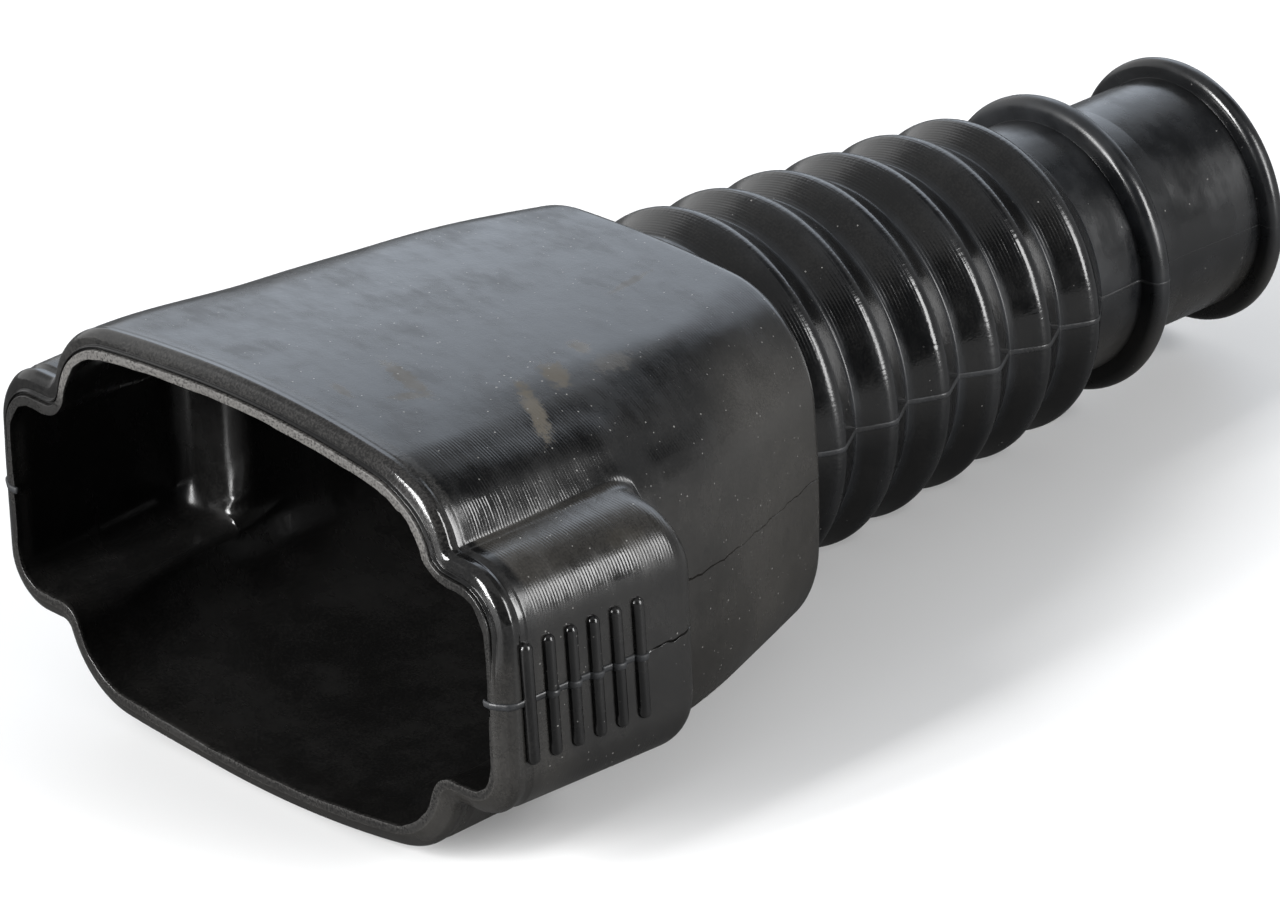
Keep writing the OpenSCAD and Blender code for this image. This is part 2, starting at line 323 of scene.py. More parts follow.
def newRubber(name, look):
    # black rubber: sheen clouds, mould grain, cutter lines where the piece has them, haze with painted light, dust and
    # smears
    material = bpy.data.materials.new(name)
    material.use_nodes = True
    tree = material.node_tree
    tree.nodes.clear()
    place = put(tree, "ShaderNodeTexCoord").outputs["Object"]
    mould = useEffect(tree, mouldFinish, Place=place)
    cloud, grain = mould.outputs["Cloud"], mould.outputs["Grain"]
    dust = useEffect(tree, dustSpecks, Place=place, Cells=look["dustCells"], Share=look["dustShare"]).outputs["Mask"]
    run = attribute(tree, "run")
    lines = useEffect(tree, cutterLines, Place=place, Run=run, Pitch=look["linePitch"]).outputs["Height"]

    def times(a, b):
        return calc(tree, "MULTIPLY", a, b)

    def plus(base, share, amount):
        return calc(tree, "MULTIPLY_ADD", share, amount, base)

    raw = times(attribute(tree, "raw"), spread(tree, grain, look["rawSpread"]))
    dull = times(attribute(tree, "dull"), spread(tree, cloud, look["dullSpread"]))
    worn = smears(tree, place, look["blots"])
    dust = times(dust, times(attribute(tree, "dusty"), ramp(tree, cloud, *look["dustClouds"])))
    # haze with painted light: the same lighter colour lifts places that would look too dark
    hazeAndLightShare = times(attribute(tree, "hazeAndPaintedLight"), ramp(tree, cloud, *look["hazeAndPaintedLightClouds"], *look["hazeAndPaintedLightSpread"]))
    hazeAndLightShare = times(hazeAndLightShare, spread(tree, grain, look["hazeAndPaintedLightGrain"]))
    mottle = ramp(tree, calc(tree, "ADD", cloud, grain), *look["mottle"])
    colour = tint(tree, mottle, look["dark"], look["light"])
    for share, layer in ((dull, "dull"), (hazeAndLightShare, "hazeAndPaintedLight"), (raw, "raw"), (worn, "worn"), (dust, "dust")):
        colour = tint(tree, share, colour, look[layer + "Colour"])
    rough = spread(tree, cloud, (look["glossy"], look["satin"]))
    rough = calc(tree, "ADD", rough, spread(tree, mould.outputs["Wipe"], (-look["wipe"], look["wipe"])))
    for share, layer in ((raw, "raw"), (worn, "worn"), (dull, "dull")):
        rough = plus(rough, share, look[layer + "Rough"])
    height = times(times(lines, attribute(tree, "cut")), look["lineHeight"])
    height = plus(height, grain, plus(look["grainHeight"], raw, look["rawGrain"]))
    height = plus(height, cloud, look["waveHeight"])
    if look["nickHeight"]:
        nicks = useEffect(tree, crestNicks, Place=place).outputs["Height"]
        height = plus(height, times(nicks, attribute(tree, "nick")), look["nickHeight"])
    bump = put(tree, "ShaderNodeBump", {"Height": height, "Strength": 1.0, "Distance": mm}).outputs[0]
    shader = put(tree, "ShaderNodeBsdfPrincipled", {"Base Color": colour, "Roughness": rough, "Normal": bump})
    shader.inputs["IOR"].default_value = look["ior"]
    put(tree, "ShaderNodeOutputMaterial", {"Surface": shader.outputs[0]})
    return material


# heights in mm
baseLook = {
    "dark": (0.003, 0.003, 0.0031, 1), "light": (0.007, 0.0068, 0.0066, 1), "mottle": (0.85, 1.2),
    "glossy": 0.14, "satin": 0.3, "wipe": 0.05, "ior": 1.5,
    "rawColour": (0.104, 0.1, 0.095, 1), "rawRough": 0.3, "rawGrain": 0.012, "rawSpread": (0.3, 1.3),
    "dullColour": (0.012, 0.0135, 0.016, 1), "dullRough": 0.3, "dullSpread": (0.5, 1.5),
    # the haze colour is also painted light, laid where the marks lift dark places
    "hazeAndPaintedLightColour": (0.034, 0.032, 0.029, 1), "hazeAndPaintedLightClouds": (0.25, 0.75), "hazeAndPaintedLightSpread": (0.7, 1.0),
    "hazeAndPaintedLightGrain": (0.8, 1.15), "wornColour": (0.06, 0.051, 0.037, 1), "wornRough": 0.3, "blots": [],
    "dustColour": (0.18, 0.176, 0.168, 1), "dustCells": 1900.0, "dustShare": 0.8, "dustClouds": (0.3, 0.58),
    "linePitch": 0.262, "lineHeight": 0.0031, "grainHeight": 0.006, "waveHeight": 0.04, "nickHeight": 0.0,
}
topBlots = [
    ((16.3, -12.0, 15.1), (13.0, -19.1, 13.2), 0.9, 1.0),
    ((19.9, -11.0, 15.0), (18.3, -14.8, 14.7), 1.2, 0.9),
    ((23.4, -9.6, 15.0), (23.2, -12.3, 14.8), 0.8, 0.65),
    ((10.8, -3.4, 16.0), (9.2, -11.0, 15.6), 0.9, 0.6),
    ((7.0, -8.8, 15.9), (9.9, -10.3, 15.6), 0.7, 0.55),
    ((5.3, -4.1, 16.2), (4.9, -7.5, 16.1), 0.5, 0.45),
    ((30.7, -5.8, 14.9), (36.4, -4.5, 14.6), 0.5, 0.45),
    ((21.5, -13.9, 14.7), (25.9, -13.6, 14.5), 1.3, 0.35),
    ((10.9, -26.3, 8.7), (14.8, -27.0, 8.1), 1.5, 0.12),
]
tubeLook = {"glossy": 0.13, "satin": 0.21, "wipe": 0.03, "lineHeight": 0.006, "nickHeight": 0.026, "dustShare": 0.15}
housingRubber = newRubber("housing_rubber", dict(baseLook, blots=topBlots))
tubeRubber = newRubber("tube_rubber", dict(baseLook, **tubeLook))
print("boot: rubber materials made")


# Housing: a loop of outlines from the inside, over the lip, along the outside and down the back

# sizes in mm; a pair named At is where a change starts and how far it takes
housing = {
    "length": 41.6, "width": 45.6, "height": 33.2, "crownR": 95.0, "sideR": 38.0, "cornerR": 8.0, "wall": 2.0,
    "rearWidth": 33.4, "rearHeight": 28.8, "rearCrownR": 150.0, "rearSideR": 90.0, "rearCornerR": 9.0,
    "taperStart": 18.5, "taperBlend": 12.0, "rearEdgeR": 1.4, "backWall": 2.2, "holeR": 10.5,
    "earY": 28.1, "earZ": 9.5, "earCornerR": 4.2, "earLength": 18.4, "earEndR": 2.4, "earOut": 5.3,
    "earFoot": 0.7, "earFootPower": 1.6, "earTopBack": 0.3, "earTopEndR": 2.9,
    "valleyR": 0.3, "outerValleyMore": 0.45, "outerValleyAt": (-1.2, 1.0),
    "innerValleyR": 0.9, "innerValleyAt": (3, 6),
    "pocketR": 1.9, "pocketEdgeR": 1.9, "pocketFoot": 0.3, "pocketRamp": 4.0, "rampShift": 3, "rampColumns": 9,
    "topSteps": 20, "cornerSteps": 24, "valleySteps": 8, "flatSteps": 6, "earCornerSteps": 16, "sideSteps": 10,
}
h = housing
earSteps = h["valleySteps"] + h["flatSteps"] + h["earCornerSteps"] + h["sideSteps"]
cornerEnd = h["topSteps"] + h["cornerSteps"]
flatEnd = cornerEnd + h["valleySteps"] + h["flatSteps"]
quarterSteps = cornerEnd + earSteps


def arcRun(cy, cz, radius, fromAngle, toAngle, steps):
    # centre plus radius times the cosine and sine of an angle that goes evenly between two ends, without the first
    t = np.linspace(0, 1, steps + 1)[1:]
    a = fromAngle[:, None] + (toAngle - fromAngle)[:, None] * t
    return np.stack([cy[:, None] + radius[:, None] * np.cos(a), cz[:, None] + radius[:, None] * np.sin(a)], -1)


def quarterOutlines(x, d, share):
    # three arcs that meet smoothly, moved out by d, and the same with an ear in place of the third; share mixes both;
    # the valley beside the ear is an arc, whose radius follows d, but for the inner skin
    s, b, one = np.clip(x - h["taperStart"], 0, None), h["taperBlend"], np.ones_like(x)
    taper = np.where(s < b, s * s / (2 * b), s - b / 2) / (h["length"] - h["taperStart"] - b / 2)
    along = x / h["length"]
    halfW, halfH = lerp(h["width"], h["rearWidth"], taper) / 2, lerp(h["height"], h["rearHeight"], along) / 2
    crownR, sideR = lerp(h["crownR"], h["rearCrownR"], along), lerp(h["sideR"], h["rearSideR"], along)
    joinR = lerp(h["cornerR"], h["rearCornerR"], along)
    topZ, sideY = halfH - crownR, halfW - sideR
    gap = np.hypot(sideY, topZ)
    uy, uz = sideY / gap, -topZ / gap
    reach = ((crownR - joinR) ** 2 - (sideR - joinR) ** 2 + gap ** 2) / (2 * gap)
    off = np.sqrt((crownR - joinR) ** 2 - reach ** 2)
    cy, cz = reach * uy + off * uz, topZ + reach * uz - off * uy
    topEnd, sideStart = np.arctan2(cz - topZ, cy), np.arctan2(cz, cy - sideY)
    innerSkin = rise(x, *h["innerValleyAt"]) * (d <= -h["wall"])
    valleyR = lerp(h["valleyR"] - d, h["innerValleyR"], innerSkin)
    valleyR = valleyR + h["outerValleyMore"] * rise(d, *h["outerValleyAt"])
    vz = h["earZ"] + d + valleyR
    vy = cy + np.sqrt((joinR + d + valleyR) ** 2 - (vz - cz) ** 2)
    earStart = np.arctan2(vz - cz, vy - cy)
    ey, ez = (h["earY"] - h["earCornerR"]) * one, (h["earZ"] - h["earCornerR"]) * one
    middle = np.stack([0 * one, halfH + d], -1)[:, None]
    top = arcRun(0 * one, topZ, crownR + d, math.pi / 2 * one, topEnd, h["topSteps"])
    corner = arcRun(cy, cz, joinR + d, topEnd, lerp(sideStart, earStart, share[:, 0]), h["cornerSteps"])
    plain = np.concatenate([middle, top, corner, arcRun(sideY, 0 * one, sideR + d, sideStart, 0 * one, earSteps)], 1)
    valley = arcRun(vy, vz, valleyR, earStart + math.pi, 1.5 * math.pi * one, h["valleySteps"])
    edge = arcRun(ey, ez, h["earCornerR"] + d, math.pi / 2 * one, 0 * one, h["earCornerSteps"])
    edgeStart = np.stack([ey, ez + h["earCornerR"] + d], -1)[:, None]
    flat = lerp(valley[:, -1:], edgeStart, np.linspace(0, 1, h["flatSteps"] + 1)[1:, None])
    side = edge[:, -1:] * np.stack([np.ones(h["sideSteps"]), np.linspace(1, 0, h["sideSteps"] + 1)[1:]], -1)
    eared = np.concatenate([middle, top, corner, valley, flat, edge, side], 1)
    return lerp(plain, eared, share[..., None])


# the parting crack on the sides: its section as distance from the middle and share of the depth, how the depth goes
# along the boot, and how the crack wanders up and down
crack = {
    "section": [(0.16, 0), (0.125, 0), (0.115, 0), (0.105, 0.08), (0.014, 0.93)], "depth": 0.45, "room": 0.17,
    "least": 0.4, "startAt": (13.2, 0.8), "rearAt": (23, 3), "rearShare": 0.5, "mean": 0.7, "change": 0.3,
    "beats": (2.9, 1.7), "lift": 0.2, "rearLift": 0.2, "liftAt": (13, 4), "waves": [(0.07, 2.3, 0), (0.05, 5.1, 1)],
    "moved": (1.6, 1.3), "movedAt": (12, 1),
}


def withSeam(quarter, share):
    # more points beside the middle of the side, and a crack pressed in along it, as wide and deep as share; the first
    # three points lie flat, so that its rim stays sharp
    near, middle = quarter[:, -2:-1], quarter[:, -1:]
    away, deep = np.array(crack["section"]).T
    wide = np.minimum(lerp(crack["least"], 1, share)[:, None, None], near[..., 1:] / crack["room"])
    beside = lerp(middle, near, away[:, None] * wide / near[..., 1:])
    pressed = np.concatenate([beside, middle], 1)
    pressed[..., 0] -= crack["depth"] * share[:, None] * np.append(deep, 1)
    return np.concatenate([quarter[:, :-1], pressed], 1)


def wholeRings(x, quarter):
    # the quarter, mirrored down, then both mirrored across
    down, up = quarter[:, :-1], quarter[:, :0:-1]
    ring = np.concatenate([down, up * (1, -1), down * (-1, -1), up * (-1, 1)], 1)
    return np.concatenate([np.broadcast_to(x[:, None, None], ring.shape[:2] + (1,)), ring], -1)


def earShare(x, end, radius):
    # whole, then down a quarter circle, then down the rear wall to nothing, with a small foot; a row for each x
    x = x[:, None]
    s = np.clip(x - end + radius, 0, radius)
    edge = 1 - (radius - np.sqrt(radius * radius - s * s)) / h["earOut"]
    wall = 1 - np.clip((x - end) / h["earFoot"], 0, 1)
    return edge * np.where(wall < 1, wall ** h["earFootPower"], 1)


def pocketShare(x, end):
    # the same for the inside: a hollow quarter circle, a wall and a round edge; at the valley the wall is a long ramp
    x, hollowR, edgeR, out = x[:, None], h["pocketR"], h["pocketEdgeR"], h["earOut"]
    s = np.clip(x - end + hollowR, 0, hollowR)
    hollow = hollowR - np.sqrt(hollowR ** 2 - s ** 2)
    pastValley = rise(np.arange(len(end)), cornerEnd + h["rampShift"], h["rampColumns"])
    foot = lerp(h["pocketRamp"], h["pocketFoot"], pastValley)
    wall = (out - hollowR - edgeR) * np.clip((x - end) / foot, 0, 1)
    u = edgeR - np.clip(x - end - foot, 0, edgeR)
    return 1 - (hollow + wall + np.sqrt(edgeR ** 2 - u ** 2)) / out


give = {
    "mouth": 22, "farAt": (6, 16), "farLow": -0.7, "farHigh": 0.35, "farHighAt": (6, 6), "farOut": 0.3,
    "farOutAt": (20, 6), "nearLift": (0.6, 0.15), "nearTilt": (-21, 6), "nearAt": (-17, 4), "nearTopAt": (3, 5),
    "nearEndAt": (17, 4), "flare": 0.045, "flareFrom": 8, "flareAt": (21, 4), "flareMiddle": 9, "flareHalf": 11,
    "sinks": [(0.25, 2, 30), (0.3, 4, 12)], "sinkEndAt": (24, 16), "sinkSideAt": (12, 6), "sinkTopAt": (9, 2.5),
}


def slack(points):
    # soft rubber: towards the mouth the far ear hangs low and out, the far shoulder stands high, and the near ear's top
    # is lifted, most at its foot; both ears flare towards their rear, and both shoulders sink in behind the mouth
    x, y, z = points[..., 0], points[..., 1], points[..., 2]
    aside = np.abs(y)
    near = 1 - smooth(x / give["mouth"])
    lift = near * rise(y, *give["farAt"]) * lerp(give["farLow"], give["farHigh"], rise(z, *give["farHighAt"]))
    tiltFrom, tiltReach = give["nearTilt"]
    tilt = lerp(*give["nearLift"], np.clip((tiltFrom - y) / tiltReach, 0, 1))
    tilt = tilt * fall(y, *give["nearAt"]) * rise(z, *give["nearTopAt"])
    lift = lift + tilt * (1 - rise(x, *give["nearEndAt"]))
    onFlare = np.abs(x - give["flareMiddle"]) < give["flareHalf"]
    flare = give["flare"] * (x - give["flareFrom"]) * rise(aside, *give["flareAt"]) * onFlare
    sink = sum(size * rise(x, start, reach) for size, start, reach in give["sinks"])
    sink = sink * (1 - rise(x, *give["sinkEndAt"]))
    sink = sink * rise(aside, *give["sinkSideAt"]) * rise(z, *give["sinkTopAt"])
    out = give["farOut"] * near * rise(y, *give["farOutAt"]) + (flare - sink) * np.sign(y)
    return points + np.stack([0 * x, out, lift - sink], -1)


# the lip's section as distance outwards and depth: the flat edge, a groove with a ridge in it, a bead and a small step;
# the waves of its ragged edge; where the step is filled, and the slope that fills the groove on the ears and below
lip = {
    "corners": [
        (-2, 3), (-2, 0), (-1.36, 0), (-1.3, 0.36), (-1.2, 0.36), (-1.16, 0.14), (-1.08, 0.14), (-1.02, 0.42),
        (-0.88, 0.42), (-0.25, 0.62), (0.02, 1.15), (-0.02, 1.6), (-0.13, 1.85), (-0.06, 2.25), (0, 2.45), (0, 3)],
    "radii": [0, 0.06, 0.06, 0.05, 0.05, 0.04, 0.04, 0.05, 0.06, 0.7, 0.5, 0.25, 0.25, 0.2, 0.3, 0],
    "steps": (4, 0.3),
    "ragged": [(5, 0.03), (11, 0.025), (23, 0.03), (47, 0.022), (83, 0.015)], "phase": 0.37, "phasePower": 1.5,
    "torn": 0.16, "tornFrom": 0.915, "tornEnd": (0.99, 0.05), "earThin": 0.25, "earThinAt": (6.5, 2),
    "freeAt": (-1.6, 0.3), "freeDepth": (1.5, 1.4), "stepAt": (1.5, 0.2), "stepFrom": -0.5, "stepHeight": (11.5, 1.5),
    "slopeFrom": -1.36, "slopeTo": -0.25, "slopeWide": 1.11, "slopeDeep": 0.62, "slopePower": 1.3,
    "plainAt": (5.5, 4), "lowAt": (-2, 5),
}
lipPath = roundedPath(lip["corners"], lip["radii"], *lip["steps"])
lipD, lipX = lipPath.T

# rows of points along the boot, as two ends and a count
footEnd = h["earLength"] + h["earFoot"]
rows = {
    "inside": [(h["length"] - h["backWall"], 18.7, 12), (18.4, 16.9, 14), (16.8, 15.9, 22), (15.8, 13.0, 16),
               (12.4, 3.5, 9)],
    "outside": [(3.0, 14.0, 25), (14.0, footEnd, 40), (footEnd, h["length"] - h["rearEdgeR"], 39)],
    "rearTurn": 10, "back": 6,
}
column = np.arange(quarterSteps + 1)
aroundEar = rise(column, quarterSteps - h["sideSteps"] - h["earCornerSteps"], h["earCornerSteps"])
earEnd = h["earLength"] - h["earTopBack"] * (1 - aroundEar)
earEndR = lerp(h["earTopEndR"], h["earEndR"], aroundEar)
insideX = np.concatenate([np.linspace(*span) for span in rows["inside"]])
outsideX = np.concatenate([np.linspace(start, end, count + 1)[1:] for start, end, count in rows["outside"]])
rearTurn = np.linspace(0, math.pi / 2, rows["rearTurn"] + 1)[1:]
rearX, rearD = h["length"] - h["rearEdgeR"] * (1 - np.sin(rearTurn)), -h["rearEdgeR"] * (1 - np.cos(rearTurn))
ringX = np.concatenate([insideX, lipX, outsideX, rearX])
ringD = np.concatenate([np.full(len(insideX), -h["wall"]), lipD, np.zeros(len(outsideX)), rearD])
shares = np.concatenate([
    pocketShare(insideX, earEnd - h["wall"]), np.ones((len(lipPath), quarterSteps + 1)),
    earShare(outsideX, earEnd, earEndR), np.zeros((len(rearTurn), quarterSteps + 1))])
onLip = np.arange(len(insideX), len(insideX) + len(lipPath))

# the crack begins on the ears, is less deep at the rear, and its depth changes with the product of two sines
beat, slowBeat = crack["beats"]
beats = crack["mean"] + crack["change"] * np.sin(beat * ringX) * np.sin(slowBeat * ringX + 1)
crackRun = np.where(np.arange(len(ringX)) > onLip[-1], rise(ringX, *crack["startAt"]), 0)
crackRun = crackRun * lerp(1, crack["rearShare"], rise(ringX, *crack["rearAt"])) * beats
quarters = withSeam(quarterOutlines(ringX, ringD, shares), crackRun)

# the back runs in straight lines to a round hole, and the hole closes the loop
backOutline = quarters[-1:]
holeQuarter = h["holeR"] * backOutline / np.linalg.norm(backOutline, axis=-1, keepdims=True)
backQuarters = lerp(backOutline, holeQuarter, np.linspace(0, 1, rows["back"] + 1)[1:, None, None])
ringX = np.concatenate([ringX, np.full(rows["back"], h["length"]), [h["length"] - h["backWall"]]])
quarters = np.concatenate([quarters, backQuarters, holeQuarter])
housingRings = wholeRings(ringX, quarters)
ringCount, ringPoints = housingRings.shape[:2]
ringNumber, rowX = np.arange(ringCount), ringX[:, None]
isInside, isOutside = (ringNumber < onLip[0])[:, None], (ringNumber > onLip[-1])[:, None]

# the lip's flat edge is ragged: waves of several lengths round the mouth, and a torn step at the far top corner
turn = np.arange(ringPoints) / ringPoints
edge = sum(
    size * np.sin(2 * math.pi * (waves * turn + lip["phase"] * waves ** lip["phasePower"]))
    for waves, size in lip["ragged"])
edge = edge + lip["torn"] * (turn > lip["tornFrom"]) * fall(turn, *lip["tornEnd"])
lipZ = housingRings[onLip[0], :, 2]
height = np.abs(lipZ)
lowSide, plainSide = fall(lipZ, *lip["lowAt"]), fall(lipZ, *lip["plainAt"])
edge = edge - lip["earThin"] * fall(height, *lip["earThinAt"])
inner = np.roll(housingRings[onLip], -1, 1) - np.roll(housingRings[onLip], 1, 1)
inner = np.stack([0 * inner[..., 0], inner[..., 2], -inner[..., 1]], -1) / np.linalg.norm(inner, axis=-1, keepdims=True)
inner = inner * np.where((inner * housingRings[onLip]).sum(-1).mean() > 0, -1, 1)
freeEdge = fall(lipD, *lip["freeAt"]) * fall(lipX, *lip["freeDepth"])
housingRings[onLip] += inner * (freeEdge[:, None] * edge)[..., None]
filled = -lipD * rise(lipX, *lip["stepAt"]) * (lipD > lip["stepFrom"])
housingRings[onLip] -= inner * (filled[:, None] * rise(height, *lip["stepHeight"]))[..., None]
slopeX = lip["slopeDeep"] * np.clip((lipD - lip["slopeFrom"]) / lip["slopeWide"], 0, 1) ** lip["slopePower"]
inGroove = (lipD > lip["slopeFrom"]) * (lipD < lip["slopeTo"])
housingRings[onLip, :, 0] += (inGroove * (slopeX - lipX))[:, None] * plainSide

# the crack lies a little high, more so behind the ears, and wanders with two sines
wander = crack["lift"] + crack["rearLift"] * rise(rowX, *crack["liftAt"])
wander = wander + sum(size * np.sin(pace * rowX + shift) for size, pace, shift in crack["waves"])
moved = fall(np.abs(housingRings[..., 2]), *crack["moved"]) * isOutside * rise(rowX, *crack["movedAt"])
housingRings[..., 2] += wander * moved
housingRings = slack(housingRings)

# marks: run along the boot, cutter lines on ears and corners, raw rubber on the lip, dust outside, dull feet behind the
# ears, painted light inside, round the low half and the near side of the mouth and on the ears' tops, and haze with
# painted light on the sides
wear = {
    "cornerAt": (-2, 7), "earEnd": 0.9, "earEndReach": 3, "plain": 0.35, "plainEnd": (-3, 5), "pastEarAt": (15.5, 4),
    "rearAt": (24, 12), "fading": 0.8, "fadingAt": (3, 8), "topAt": (0, 3), "topEnd": (12, 6),
    "foot": 0.77, "footAt": (16.4, 1.2), "footEnd": (20.2, 1), "footColumn": (-2, 3),
    "footColumnEnd": (4, 4), "flatEdge": (-1.24, 0.06), "flatDepth": 0.3, "beadRaw": 0.11, "beadDepth": 2.6,
    "beadAt": (-1.0, 0.3), "beadEnd": (2.3, 0.5), "beadDull": -0.35, "plainBeadDull": 0.1,
    "innerAt": (-1.8, 0.15), "innerDepth": (0.1, 0.3), "innerDull": 0.05, "paintedInsideLight": 0.12,
    "thinAt": (-1.8, 0.1), "thinRaw": 0.12, "bandAt": (-1.5, 0.2), "bandEnd": (3, 5), "nearAt": (-14, 6),
    "paintedLowLight": 0.4, "paintedNearLight": 0.45, "paintedNearLowLight": 0.2, "lowRaw": 0.02, "sideRaw": 0.1, "topRawAt": (7.5, 3),
    "sideAt": (13, 6), "sideTop": 11, "sideRearTop": 7, "sideReach": 6, "earHaze": 0.2, "sideHazeAndLight": 0.6,
    "paintedRearLight": 0.45, "paintedEarTopLight": (1.0, 0.6), "paintedEarTopLightAt": (4, 5),
}
w = wear
column = np.arange(quarters.shape[1])
ringColumn = np.concatenate([column[:-1], column[:0:-1], column[:-1], column[:0:-1]])


def columnRise(start, shift, reach):
    return rise(ringColumn, start + shift, reach)


def columnFall(end, shift, reach):
    return fall(ringColumn, end + shift, reach)


onCorner = columnRise(h["topSteps"], *w["cornerAt"])
onEar = onCorner * columnFall(flatEnd, w["earEnd"] * h["earCornerSteps"], w["earEndReach"])
onPlain = onCorner * columnFall(cornerEnd, *w["plainEnd"]) * w["plain"]
onEarTop = columnRise(cornerEnd, *w["topAt"]) * columnFall(flatEnd, *w["topEnd"])
onFoot = w["foot"] * columnRise(cornerEnd, *w["footColumn"]) * columnFall(flatEnd, *w["footColumnEnd"])
atFoot = rise(rowX, *w["footAt"]) * fall(rowX, *w["footEnd"])
pastEar, atRear = rise(rowX, *w["pastEarAt"]), rise(rowX, *w["rearAt"])
fading = lerp(1, w["fading"], rise(rowX, *w["fadingAt"]) * (ringColumn < cornerEnd))


def lipMark(values, inside=0.0, outside=0.0):
    # one number for each ring: the values on the lip, and another on either side
    mark = np.where(ringNumber < onLip[0], inside, outside)
    mark[onLip] = values
    return mark[:, None]


flatRaw = fall(lipD, *w["flatEdge"]) * (lipX < w["flatDepth"])
beadRaw = w["beadRaw"] * (lipD > w["beadAt"][0]) * (lipX < w["beadDepth"])
rawBand = lipMark(np.maximum(flatRaw, beadRaw))
onBead = lipMark(rise(lipD, *w["beadAt"]) * fall(lipX, *w["beadEnd"]))
onInner = lipMark(fall(lipD, *w["innerAt"]) * rise(lipX, *w["innerDepth"]), 1.0)
thinEdge = lipMark(fall(lipD, *w["thinAt"]) * (lipX < w["flatDepth"]))
onBand = lipMark(rise(lipD, *w["bandAt"]), 0.0, 1 - rise(ringX, *w["bandEnd"]))
ringY, ringZ = housingRings[..., 1], housingRings[..., 2]
nearSide = fall(ringY[onLip[0]], *w["nearAt"])
# painted light round the mouth: lighter on its low half and on the roll of the near ear's side
paintedBandLight = lerp(w["paintedLowLight"] * lowSide, w["paintedNearLight"] * plainSide + w["paintedNearLowLight"] * lowSide, nearSide)
rawRound = lerp(w["sideRaw"], 1, rise(ringZ[onLip[0]], *w["topRawAt"])) + w["lowRaw"] * lowSide
onSide = rise(np.abs(ringY), *w["sideAt"]) * fall(ringZ, w["sideTop"] + w["sideRearTop"] * atRear, w["sideReach"])
# haze on the sides, with painted light that grows towards the rear
sideHazeAndLight = onSide * lerp(w["earHaze"], w["sideHazeAndLight"] + w["paintedRearLight"] * atRear, pastEar)
# painted light on the ears' tops, strongest towards the front
paintedEarTopLight = lerp(*w["paintedEarTopLight"], rise(rowX, *w["paintedEarTopLightAt"])) * onEarTop * (1 - pastEar)
beadDull = onBead * lerp(w["beadDull"], w["plainBeadDull"], plainSide)
ringMarks = {
    "run": np.repeat(rowX, ringPoints, 1),
    "cut": isOutside * lerp(onEar * fading, onPlain[None], pastEar),
    "raw": rawBand * rawRound + w["thinRaw"] * thinEdge * lowSide,
    "dusty": np.repeat(isOutside, ringPoints, 1),
    "dull": w["innerDull"] * isInside + beadDull + isOutside * atFoot * onFoot,
    # painted light inside, round the mouth and on the ears' tops, and haze with painted light on the sides
    "hazeAndPaintedLight": w["paintedInsideLight"] * onInner + onBand * paintedBandLight + isOutside * np.maximum(sideHazeAndLight, paintedEarTopLight),
}
housingPoints = housingRings.reshape(-1, 3)
housingQuads = outwards(housingPoints, gridQuads(ringCount, ringPoints))
housingPiece = rubberPiece("housing", housingPoints, [housingQuads], ringMarks, housingRubber)
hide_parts("rubber_boot")


# Bellows and cable sleeve: one outline turned about the boot's axis

tube = {
    "start": 40.5, "firstRoot": 42.6, "folds": 6, "pitch": 5.75, "crestD": 29.2, "drop": 0.8, "depth": 1.4,
    "crestR": 1.2, "rootR": 0.25, "wall": 1.4, "boreR": 7.75, "neckR": 10.15, "neckLength": 4.35, "ringW": 1.9,
    "ringR": 11.9, "sleeveR": 9.3, "lead": 0.35, "leadLength": 3.6, "sleeveLength": 8.4, "beadW": 1.6, "beadR": 10.7,
    "tailRadii": [0.3, 0.02, 0.92, 0.92, 0.02, 0.5, 0.02, 0.78, 0.78, 0.3], "innerCrestR": 0.3, "joinBack": 2,
    "outerSteps": (8, 0.7), "innerSteps": (5, 2.0), "around": 176, "boreWeight": 10, "nudge": 1e-6,
    "flank": 0.3, "topTurn": 0.35, "topAt": (0.7, 0.2), "crestAt": (1.0, 0.5), "rootAt": (0.5, 0.3),
    "sleeveDull": 0.3, "neckDull": 0.5, "neckAt": (-1, 1), "rootDull": 0.6, "crestDull": 0.2, "lowAt": (-0.5, 5),
    "paintedLowLight": 0.7,
}
t = tube
foldHalf = t["pitch"] / 2


def tipCut(radius, slope):
    # how far a rounded tip stays behind the sharp one
    return radius * (1 / math.cos(slope) - 1)


foldSlope = math.atan((t["depth"] + tipCut(t["crestR"] + t["rootR"], math.atan(t["depth"] / foldHalf))) / foldHalf)
fold = np.arange(t["folds"])
crestTips = (t["crestD"] - fold * t["drop"]) / 2 + tipCut(t["crestR"], foldSlope)
rootTips = (t["crestD"] - (fold - 0.5) * t["drop"]) / 2 - t["depth"] - tipCut(t["rootR"], foldSlope)
tipX = t["firstRoot"] + np.arange(2 * t["folds"]) * foldHalf
tipR = np.stack([rootTips, crestTips], -1).ravel()
outerTips = np.stack([tipX, tipR], -1)
innerTips = outerTips - (0, t["wall"] / math.cos(foldSlope))
neckX = t["firstRoot"] + t["folds"] * t["pitch"]
ringX0 = neckX + t["neckLength"]
ringX1 = ringX0 + t["ringW"]
beadX0 = ringX1 + t["leadLength"] + t["sleeveLength"]
endX = beadX0 + t["beadW"]
joinX = endX - t["joinBack"]
tailCorners = [
    (neckX, t["neckR"]), (ringX0, t["neckR"]), (ringX0, t["ringR"]), (ringX1, t["ringR"]),
    (ringX1, t["sleeveR"] + t["lead"]), (ringX1 + t["leadLength"], t["sleeveR"]), (beadX0, t["sleeveR"]),
    (beadX0, t["beadR"]), (endX, t["beadR"]), (endX, t["boreR"])]
